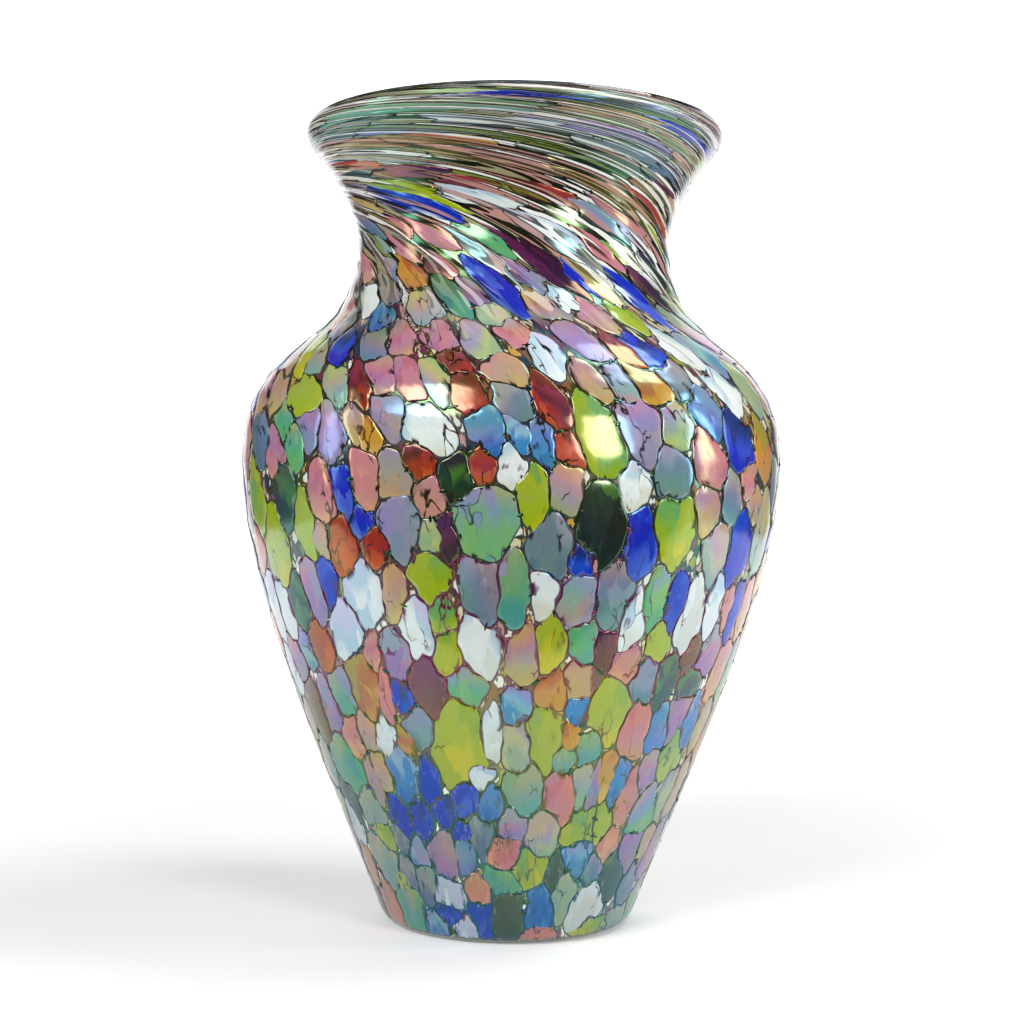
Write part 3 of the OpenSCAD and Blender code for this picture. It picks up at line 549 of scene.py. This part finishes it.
def coloured_glass(name, main, second, third, fourth, sheen_strength, film_nm):
    """Opaque coloured glass under a film: drifts of tone, veins and a dark melted edge, with painted
    sheen, a painted edge highlight and painted shade low down.
    """
    material = bpy.data.materials.new(name + "_glass")
    material.use_nodes = True
    tree = material.node_tree
    lay = Strand(tree)
    shader = tree.nodes["Principled BSDF"]

    def value(attribute, out=2):
        return lay.node("ShaderNodeAttribute", {"attribute_name": attribute}, {}, out=out)

    def noise(scale, detail, roughness=0.5, out=0):
        return lay.node(
            "ShaderNodeTexNoise", {},
            {"Vector": flow, "Scale": scale, "Detail": detail, "Roughness": roughness}, out=out,
        )

    def vector(operation, a, b, **inputs):
        return lay.node("ShaderNodeVectorMath", {"operation": operation}, {0: a, 1: b, **inputs})

    flow = value("flow", out=1)
    shade, along, rim, drawn = value("shade"), value("along"), value("rim"), value("drawn")
    height = lay.node("ShaderNodeSeparateXYZ", {}, {0: flow}, out=2)
    drift, wander, veins, fine = noise(85, 2), noise(48, 1), noise(330, 2), noise(1100, 3)
    # A chip is often several splinters stuck together.
    pull = vector("SUBTRACT", noise(260, 2, out=1), (0.5, 0.5, 0.5))
    bent = vector("ADD", flow, vector("MULTIPLY", pull, (0.006, 0.006, 0.006)))
    splinter = lay.node("ShaderNodeTexVoronoi", {}, {"Vector": bent, "Scale": 190.0}, out=1)
    splinter = lay.node("ShaderNodeSeparateColor", {}, {0: splinter})
    cracks = lay.node(
        "ShaderNodeTexVoronoi", {"feature": "DISTANCE_TO_EDGE"}, {"Vector": bent, "Scale": 190.0}
    )
    place = shade * 0.7 + along * 0.2 + (drift - 0.5) * 1.4 + (splinter - 0.5) * 0.6 + 0.15
    stops = ((0.0, third), (0.24, main), (0.56, main), (0.78, second), (1.0, fourth))
    tone = lay.node(
        "ShaderNodeValToRGB",
        {"interpolation": "EASE", "stops": [(at, linear(c)) for at, c in stops]},
        {"Fac": place.clamped()},
    )
    # Painted sheen: the lustre film's slow patches of pale green, blue, lilac, rose and gold are
    # painted into the base colour, besides the real thin film set below.
    painted_sheen_stops = ((0.3, "#8fb45c"), (0.38, "#5fae8c"), (0.45, "#6c93c4"), (0.51, "#a183c6"),
                  (0.56, "#cc8ea0"), (0.63, "#c9ae62"), (0.71, "#8fb45c"))
    film = lay.node(
        "ShaderNodeValToRGB",
        {"interpolation": "EASE", "stops": [(at, linear(c)) for at, c in painted_sheen_stops]},
        {"Fac": wander + along * 0.08},
    )
    spread = lay.math("FRACT", shade * 7.3)
    sheen_painted = ((spread * 0.7 + drift.smooth(0.35, 0.65) * 0.6) * sheen_strength).clamped().blend(tone, film)
    # Painted shade: the colour is darkened low down the wall, where less light falls.
    painted_low_shade = height.smooth(0.0, 0.04) * 0.4 + height.smooth(0.03, 0.06) * 0.16 + 0.6
    brushed_and_shaded = ((fine - 0.5) * 0.16 + 0.93) * painted_low_shade
    lit = lay.node(
        "ShaderNodeVectorMath", {"operation": "SCALE"}, {0: sheen_painted, "Scale": brushed_and_shaded}
    )
    vein_tint = value("edge_tint", out=0)
    cracked = ((1 - cracks.smooth(0.008, 0.035)) * noise(130, 1).smooth(0.57, 0.62)).blend(
        lit, vein_tint
    )
    # Dark veins bleed in from the melted edge, and the pale lines beside them are a painted
    # highlight, the glint along the raised edge. rim is the distance to the edge in millimetres.
    ragged = rim + (veins - 0.5) * 1.1
    veined = ((1 - rim.smooth(0.5, 1.3)) * veins.smooth(0.6, 0.63)).blend(cracked, vein_tint)
    glint_line = lay.math("ABSOLUTE", veins - 0.47)
    edge_glinted = ((1 - rim.smooth(0.4, 1.2)) * (1 - glint_line.smooth(0.004, 0.02)) * 0.25).blend(
        veined, (0.6, 0.52, 0.34, 1)
    )
    drawn_out = (drawn * noise(90, 1).smooth(0.45, 0.49) * 0.86).blend(
        edge_glinted, drawn_threads(lay, flow)
    )
    worn = ((1 - ragged.smooth(0.2, 0.46)) * noise(200, 1).smooth(0.3, 0.4)).blend(
        drawn_out, vein_tint
    )
    tree.links.new(worn.socket, shader.inputs["Base Color"])
    tree.links.new((fine.smooth(0.3, 0.8) * 0.1 + 0.13).socket, shader.inputs["Roughness"])
    swell = noise(130, 2) * 0.7 + ragged.smooth(0.0, 0.5) * 0.4
    bump = lay.node("ShaderNodeBump", {}, {"Strength": 0.2, "Distance": 0.001, "Height": swell})
    tree.links.new(bump.socket, shader.inputs["Normal"])
    shader.inputs["IOR"].default_value = 1.5
    shader.inputs["Thin Film Thickness"].default_value = float(film_nm)
    shader.inputs["Thin Film IOR"].default_value = 1.7
    return material


def tint_at(stops, z):
    """The colour at a height, from stops given as shares of the total height."""
    places = [place * total_h for place, _ in stops]
    tones = np.array([linear(code) for _, code in stops])
    return np.stack([np.interp(z, places, tones[:, k]) for k in range(3)], axis=-1)


FLOW_STRETCH = 0.42


def flow_places(flow, z):
    """Pattern places on the untwisted wall, drawn out along the way the glass ran."""
    a = np.radians(flow)
    return np.stack([FLOW_R * np.cos(a), FLOW_R * np.sin(a), z * FLOW_STRETCH], axis=-1)


def add_values(mesh, name, kind, values):
    attribute = mesh.attributes.new(name, kind, "POINT")
    key = {"FLOAT": "value", "FLOAT_VECTOR": "vector", "FLOAT_COLOR": "color"}[kind]
    attribute.data.foreach_set(key, np.ascontiguousarray(values, np.float32).ravel())


def with_alpha(colours):
    return np.c_[colours, np.ones(len(colours))]


glass_finish = {glass: coloured_glass(glass, *row) for glass, row in GLASSES.items()}


def lay_glass(glass, kind):
    """One piece: all the chips, or all the streaks, of one glass."""
    parts = []
    for k, bed in enumerate(beds):
        if bed.glass == glass and bed.kind == kind:
            level = dice.uniform(-0.02, 0.05)
            parts.append((bed, dice.uniform(), chip_mesh(bed, outlines[k], level)))
    corners, faces, start = [], [], 0
    shades, edges = [], []
    for bed, shade, (places, sides, *_) in parts:
        corners.append(places)
        faces += [tuple(start + c for c in side) for side in sides]
        start += len(places)
        shades.append(np.full(len(places), shade))
        edges.append(np.repeat(tint_at(SEAM_TINTS, np.array([bed.z])), len(places), axis=0))
    name = glass + "_" + kind
    mesh = bpy.data.meshes.new(name)
    mesh.from_pydata(np.vstack(corners).tolist(), [], faces)
    loops = np.vstack([part[2][4] for part in parts])
    add_values(mesh, "flow", "FLOAT_VECTOR", flow_places(loops[:, 0], loops[:, 1]))
    add_values(mesh, "along", "FLOAT", np.concatenate([part[2][2] for part in parts]))
    add_values(mesh, "rim", "FLOAT", np.concatenate([part[2][3] for part in parts]))
    add_values(mesh, "shade", "FLOAT", np.concatenate(shades))
    add_values(mesh, "drawn", "FLOAT", np.clip((loops[:, 1] - 156 * MM) / (24 * MM), 0, 1))
    add_values(mesh, "edge_tint", "FLOAT_COLOR", with_alpha(np.vstack(edges)))
    mesh.shade_smooth()
    mesh.materials.append(glass_finish[glass])
    piece = bpy.data.objects.new(name, mesh)
    bpy.context.scene.collection.objects.link(piece)
    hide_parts(kind + "_" + glass)
    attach(piece, "root")


for kind in ("chips", "streaks"):
    for glass in GLASSES:
        lay_glass(glass, kind)


# ---- Frit ground -----------------------------------------------------------------
# Crushed glass of every colour, rolled on to the gather before the chips and melted
# smooth. It shows between the chips as pale and dark veins that ran with the twist.

def frit_glass():
    material = bpy.data.materials.new("frit_ground")
    material.use_nodes = True
    tree = material.node_tree
    lay = Strand(tree)
    shader = tree.nodes["Principled BSDF"]
    flow = lay.node("ShaderNodeAttribute", {"attribute_name": "flow"}, {}, out=1)
    under = lay.node("ShaderNodeAttribute", {"attribute_name": "under_tint"}, {}, out=0)
    room = lay.node("ShaderNodeAttribute", {"attribute_name": "room"}, {}, out=2)
    drawn = lay.node("ShaderNodeAttribute", {"attribute_name": "drawn"}, {}, out=2)
    cloud = lay.node("ShaderNodeTexNoise", {}, {"Vector": flow, "Scale": 240.0, "Detail": 4.0})
    pull = lay.node(
        "ShaderNodeVectorMath", {"operation": "SCALE"},
        {0: lay.node("ShaderNodeTexNoise", {}, {"Vector": flow, "Scale": 500.0}, out=1),
         "Scale": 0.003},
    )
    bent = lay.node("ShaderNodeVectorMath", {"operation": "ADD"}, {0: flow, 1: pull})
    veins = lay.node(
        "ShaderNodeTexVoronoi", {"feature": "DISTANCE_TO_EDGE"}, {"Vector": bent, "Scale": 560.0}
    )
    grain = lay.node("ShaderNodeTexVoronoi", {}, {"Vector": bent, "Scale": 560.0}, out=1)
    grain = lay.node("ShaderNodeSeparateColor", {}, {0: grain})
    grain_stops = ((0.0, "#d8cfae"), (0.2, "#8a5a3c"), (0.34, "#e4e2da"), (0.48, "#7c2c50"),
                   (0.6, "#9c9a3c"), (0.72, "#2c3c58"), (0.84, "#c08e8c"), (0.94, "#c49a4c"))
    grains = lay.node(
        "ShaderNodeValToRGB", {"interpolation": "CONSTANT", "stops": [
            (at, linear(code)) for at, code in grain_stops]},
        {"Fac": grain},
    )
    shown = (room.smooth(0.02, 0.2) * veins.smooth(0.06, 0.14)).blend(under, grains)
    # Round the neck the frit itself was drawn into threads of white, green, rose and black.
    threads = drawn_threads(lay, flow)
    told = drawn.blend(shown, threads)
    tree.links.new(told.socket, shader.inputs["Base Color"])
    tree.links.new((cloud * 0.2 + 0.06).socket, shader.inputs["Roughness"])
    bump = lay.node("ShaderNodeBump", {}, {"Strength": 0.3, "Distance": 0.0005, "Height": cloud})
    tree.links.new(bump.socket, shader.inputs["Normal"])
    shader.inputs["IOR"].default_value = 1.5
    shader.inputs["Thin Film Thickness"].default_value = 411.0
    shader.inputs["Thin Film IOR"].default_value = 1.7
    return material


ground_top = (skin - 0.12 * MM * skin_normal)[::2]
ground_under = (skin - 0.85 * MM * skin_normal)[::6]
ground_outline = np.vstack([ground_top, ground_under[::-1], ground_top[:1]])
ground = turned_piece("ground", ground_outline, 360, frit_glass())


def nearest_room(angle, z):
    """Distance from places on the wall to the nearest chip edge, and that chip."""
    flow = angle + turned(z)
    room = np.full(len(z), 5 * MM)
    owner = np.zeros(len(z), int)
    for k, bed in enumerate(beds):
        x = ((flow - bed.flow + 180) % 360 - 180) * bed.per_degree
        y = (z - bed.z) * bed.per_height
        outline = outlines[k]
        size = np.abs(outline).max(axis=0) + 3 * MM
        near = np.flatnonzero((np.abs(x) < size[0]) & (np.abs(y) < size[1]))
        if not len(near):
            continue
        px, py = x[near, None], y[near, None]
        gap = np.hypot(px - outline[None, :, 0], py - outline[None, :, 1]).min(axis=1)
        turn = np.arctan2(y[near] / bed.half_l, x[near] / bed.half_w) % (2 * math.pi)
        spins = np.arctan2(outline[:, 1] / bed.half_l, outline[:, 0] / bed.half_w) % (2 * math.pi)
        order = np.argsort(spins)
        rim_r = np.hypot(outline[:, 0] / bed.half_w, outline[:, 1] / bed.half_l)[order]
        edge = np.interp(turn, spins[order], rim_r, period=2 * math.pi)
        inside = np.hypot(px[:, 0] / bed.half_w, py[:, 0] / bed.half_l) < edge
        gap = np.where(inside, -gap, gap)
        closer = gap < room[near]
        room[near[closer]] = gap[closer]
        owner[near[closer]] = k
    return room, owner


places = np.array([v.co for v in ground.data.vertices])
angles = np.degrees(np.arctan2(places[:, 0], -places[:, 1]))
heights = np.clip(places[:, 2], skin_low, skin_high)
room, owner = nearest_room(angles, heights)
chip_tones = np.array([linear(GLASSES[bed.glass][0]) for bed in beds])[owner]
under = 0.8 * tint_at(SEAM_TINTS, heights) + 0.12 * chip_tones
add_values(ground.data, "flow", "FLOAT_VECTOR", flow_places(angles + turned(heights), heights))
add_values(ground.data, "under_tint", "FLOAT_COLOR", with_alpha(under))
add_values(ground.data, "room", "FLOAT", room / MM)
add_values(ground.data, "drawn", "FLOAT", np.clip((heights - 158 * MM) / (20 * MM), 0, 1))
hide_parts("frit_ground")
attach(ground, "root")


# The coarsest grains stayed whole as dark crumbs that settled along the seams. The pale star-shaped
# marks round the seam junctions are painted highlight: the lustre glinting where the glass creased
# there.

def scatter_tree():
    """Lays a turned and stretched ball on every point of a mesh."""
    tree = bpy.data.node_groups.new("scatter", "GeometryNodeTree")
    for name, kind in (
        ("Geometry", "NodeSocketGeometry"), ("Roundness", "NodeSocketInt"),
        ("Glass", "NodeSocketMaterial"),
    ):
        tree.interface.new_socket(name, in_out="INPUT", socket_type=kind)
    tree.interface.new_socket("Geometry", in_out="OUTPUT", socket_type="NodeSocketGeometry")
    start = tree.nodes.new("NodeGroupInput")
    points, roundness, glass = [Strand(tree, socket) for socket in start.outputs[:3]]
    lay = Strand(tree)

    def stored(name):
        return lay.node(
            "GeometryNodeInputNamedAttribute", {"data_type": "FLOAT_VECTOR"}, {"Name": name}
        )

    ball = lay.node("GeometryNodeMeshIcoSphere", {}, {"Radius": 1.0, "Subdivisions": roundness})
    body = lay.node(
        "GeometryNodeInstanceOnPoints", {},
        {"Points": points, "Instance": ball, "Rotation": stored("turn"), "Scale": stored("size")},
    )
    body = lay.node("GeometryNodeRealizeInstances", {}, {"Geometry": body})
    body = lay.node("GeometryNodeSetShadeSmooth", {}, {"Geometry": body})
    body = lay.node("GeometryNodeSetMaterial", {}, {"Geometry": body, "Material": glass})
    end = tree.nodes.new("NodeGroupOutput")
    tree.links.new(body.socket, end.inputs[0])
    return tree


def crumb_glass():
    material = bpy.data.materials.new("frit_crumbs")
    material.use_nodes = True
    tree = material.node_tree
    lay = Strand(tree)
    shader = tree.nodes["Principled BSDF"]
    tint = lay.node("ShaderNodeAttribute", {"attribute_name": "tint"}, {}, out=0)
    here = lay.node("ShaderNodeTexCoord", {}, {}, out=3)
    mottle = lay.node("ShaderNodeTexNoise", {}, {"Vector": here, "Scale": 900.0, "Detail": 2.0})
    shown = lay.node(
        "ShaderNodeVectorMath", {"operation": "SCALE"}, {0: tint, "Scale": mottle + 0.5}
    )
    tree.links.new(shown.socket, shader.inputs["Base Color"])
    tree.links.new((mottle * 0.2 + 0.05).socket, shader.inputs["Roughness"])
    bump = lay.node("ShaderNodeBump", {}, {"Strength": 0.2, "Distance": 0.0003, "Height": mottle})
    tree.links.new(bump.socket, shader.inputs["Normal"])
    shader.inputs["IOR"].default_value = 1.5
    shader.inputs["Thin Film Thickness"].default_value = 411.0
    shader.inputs["Thin Film IOR"].default_value = 1.7
    return material


DARK_CRUMBS = ("#0d0b0b", "#122a18", "#0b1a10", "#260a24", "#140b10", "#34160e", "#6c1246",
               "#0e1c5c", "#1e3c14")
PALE_GLINTS = ("#cfc6a8", "#dcdcd2", "#b0924a", "#b4d0ca", "#c4ac9a")


def seam_run(degrees, z):
    """The way a seam runs at places on the wall, as an angle from level."""
    step = 0.2 * MM
    turn = np.degrees(step / radius_at(z))
    level = nearest_room(degrees + turn, z)[0] - nearest_room(degrees - turn, z)[0]
    rise = nearest_room(degrees, z + step)[0] - nearest_room(degrees, z - step)[0]
    return np.arctan2(level, -rise)


tries = 30000
degrees = dice.uniform(-180, 180, tries)
z = dice.uniform(skin_low + 1.5 * MM, 172 * MM, tries)
room_there, _ = nearest_room(degrees, z)
hubs = np.flatnonzero(room_there > 0.3 * MM)[:90]
along_seam = np.flatnonzero(np.abs(room_there + 0.03 * MM) < 0.2 * MM)[:2150]
degrees_off = (degrees[along_seam, None] - degrees[None, hubs] + 180) % 360 - 180
from_hub = np.hypot(
    np.radians(degrees_off) * radius_at(z[along_seam])[:, None],
    z[along_seam, None] - z[None, hubs],
).min(axis=1) / MM
runs = seam_run(degrees[along_seam], z[along_seam])
crumbs = []
for k, run, off in zip(along_seam, runs, from_hub):
    # Near a junction the mark is pale: painted highlight, the lustre glinting on the creased glass.
    if off < 3.4:
        size = (dice.uniform(0.5, 1.2), dice.uniform(0.1, 0.2) * (1.6 - off / 3.4), 0.1)
        tone = PALE_GLINTS[dice.integers(len(PALE_GLINTS))]
    elif dice.uniform() < 0.75:
        size = (dice.uniform(0.45, 1.5), dice.uniform(0.2, 0.55), 0.14)
        tone = DARK_CRUMBS[dice.integers(len(DARK_CRUMBS))]
        run += dice.normal(0, 0.35)
    else:
        continue
    crumbs.append((degrees[k], z[k], run, 0.0, size, tone))
corners, turns, sizes, tints = [], [], [], []
for turn_there, height, run, off, size, tone in crumbs:
    here = on_wall(turn_there, height, 0.03 * MM)
    up = on_wall(turn_there, height + 0.5 * MM) - on_wall(turn_there, height - 0.5 * MM)
    up /= np.linalg.norm(up)
    side = np.array([math.cos(math.radians(turn_there)), math.sin(math.radians(turn_there)), 0.0])
    out = np.cross(side, up)
    way = math.cos(run) * side + math.sin(run) * up
    corners.append(here)
    turn = Matrix(np.c_[way, np.cross(out, way), out].tolist()).to_euler()
    turns.append(tuple(turn))
    sizes.append(np.array(size) * MM)
    tints.append(linear(tone))
seeds = bpy.data.meshes.new("crumb_places")
seeds.from_pydata([tuple(c) for c in corners], [], [])
add_values(seeds, "turn", "FLOAT_VECTOR", turns)
add_values(seeds, "size", "FLOAT_VECTOR", sizes)
add_values(seeds, "tint", "FLOAT_COLOR", with_alpha(np.array(tints)))
crumb_piece = grown("crumbs", seeds, scatter_tree(), roundness=2, glass=crumb_glass())
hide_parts("frit_ground")
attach(crumb_piece, "root")


# ---- Floor, light and camera -----------------------------------------------------
# A white sweep of paper, a large soft box overhead, strip boxes at the sides, and a
# camera level with the middle of the vase.

def white_paper():
    """Matt white paper, lit from behind where it rises behind the vase."""
    material = bpy.data.materials.new("white_paper")
    material.use_nodes = True
    tree = material.node_tree
    lay = Strand(tree)
    shader = tree.nodes["Principled BSDF"]
    here = lay.node("ShaderNodeTexCoord", {}, {}, out=3)
    away = lay.node("ShaderNodeVectorMath", {"operation": "LENGTH"}, {0: here}, out=1)
    glow = away.smooth(0.12, 0.7) * 0.72 + 0.2
    tree.links.new(glow.socket, shader.inputs["Emission Color"])
    shader.inputs["Emission Strength"].default_value = 1.0
    shader.inputs["Base Color"].default_value = (0.9, 0.9, 0.905, 1)
    shader.inputs["Roughness"].default_value = 0.9
    shader.inputs["Specular IOR Level"].default_value = 0.1
    return material


def sweep_mesh():
    bend, back = 0.3, 0.7
    line = [(-0.15, 0.0), (0.1, 0.0), (0.4, 0.0), (back, 0.0)]
    line += [(back + bend * math.sin(t), bend - bend * math.cos(t))
             for t in np.linspace(0, math.pi / 2, 12)[1:]]
    line.append((back + bend, 0.85))
    corners = [(x, y, z) for x in (-0.6, 0.6) for y, z in line]
    n = len(line)
    faces = [(k, k + n, k + n + 1, k + 1) for k in range(n - 1)]
    mesh = bpy.data.meshes.new("sweep")
    mesh.from_pydata(corners, [], faces)
    mesh.shade_smooth()
    return mesh


sweep = bpy.data.objects.new("sweep", sweep_mesh())
sweep.data.materials.append(white_paper())
bpy.context.scene.collection.objects.link(sweep)


def soft_box(name, place, aim, size, power):
    light = bpy.data.lights.new(name, "AREA")
    light.shape = "ELLIPSE"
    light.size, light.size_y = size
    light.energy = power
    lamp = bpy.data.objects.new(name, light)
    lamp.location = place
    way = np.array(aim) - np.array(place)
    pitch = math.atan2(math.hypot(way[0], way[1]), -way[2])
    lamp.rotation_euler = (pitch, 0, math.atan2(way[1], way[0]) - math.pi / 2)
    bpy.context.scene.collection.objects.link(lamp)


half_h = total_h / 2
soft_box("left_key", (-0.53, -0.75, 0.67), (0, 0, 0.13), (0.62, 0.42), 7.0)
soft_box("right_key", (0.64, -0.84, 0.34), (0, 0, 0.13), (0.36, 0.44), 5.0)
soft_box("overhead", (0.4, 0.0, 0.85), (0, 0, 0.1), (0.4, 0.4), 3.0)
soft_box("right_strip", (0.8, -0.1, 0.3), (0, 0, half_h), (0.14, 0.5), 1.9)
soft_box("left_strip", (-0.8, -0.2, 0.3), (0, 0, half_h), (0.14, 0.5), 1.1)

world = bpy.data.worlds.new("studio")
world.use_nodes = True
world.node_tree.nodes["Background"].inputs["Color"].default_value = (1, 1, 1, 1)
world.node_tree.nodes["Background"].inputs["Strength"].default_value = 0.08
bpy.context.scene.world = world
bpy.context.scene.view_settings.view_transform = "Standard"

camera = bpy.data.objects.new("camera", bpy.data.cameras.new("camera"))
camera.data.lens = 60
camera.data.sensor_width = 36
camera.data.clip_start = 0.05
camera.location = (0.0004, -0.4782, 0.1129)
camera.rotation_euler = (math.radians(90), math.radians(-0.6), 0)
bpy.context.scene.collection.objects.link(camera)
bpy.context.scene.camera = camera
